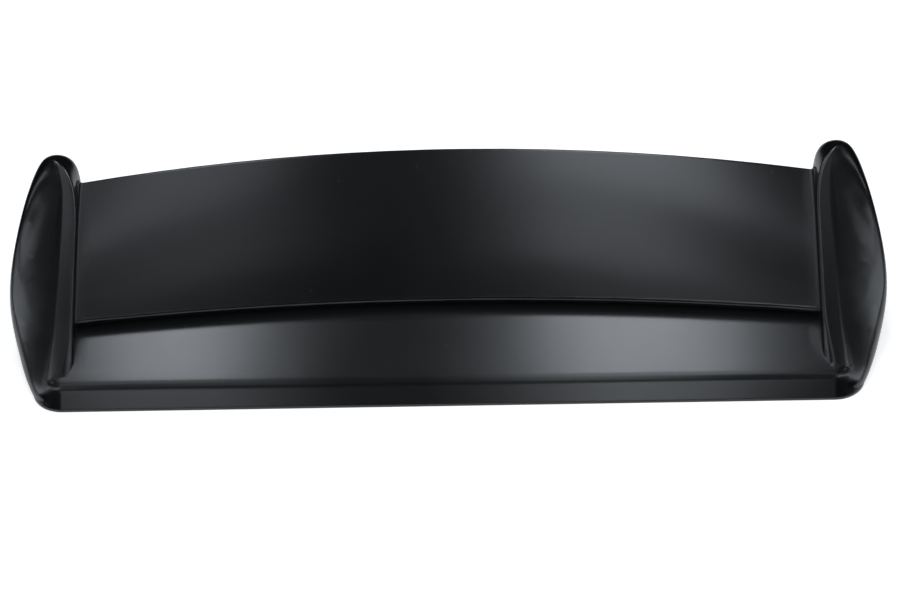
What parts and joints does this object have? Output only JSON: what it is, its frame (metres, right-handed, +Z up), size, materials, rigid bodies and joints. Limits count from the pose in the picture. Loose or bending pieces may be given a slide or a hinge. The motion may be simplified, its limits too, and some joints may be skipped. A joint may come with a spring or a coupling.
{
  "type": "trunk spoiler",
  "caption": "Satin black moulded trunk spoiler: full-width plinth, swept end fins with domed tops and an arched blade over a narrow air slot, with threaded inserts in the flat underside",
  "frame": {"origin": "centre of the four-insert pattern, on the flat underside that sits on the trunk lid", "axes": "+X along the spoiler to the right of a viewer who stands at the windscreen side, +Y to the rear of the car, +Z up"},
  "size_m": [1.2082, 0.3164, 0.2078],
  "materials": {
    "satin_black": "satin black primer coat over moulded plastic, with a fine even grain",
    "insert_brass": "turned brass, slightly dull"
  },
  "bodies": {
    "root": {"spoiler_body": "satin_black", "threaded_inserts": "insert_brass"}
  },
  "joints": []
}
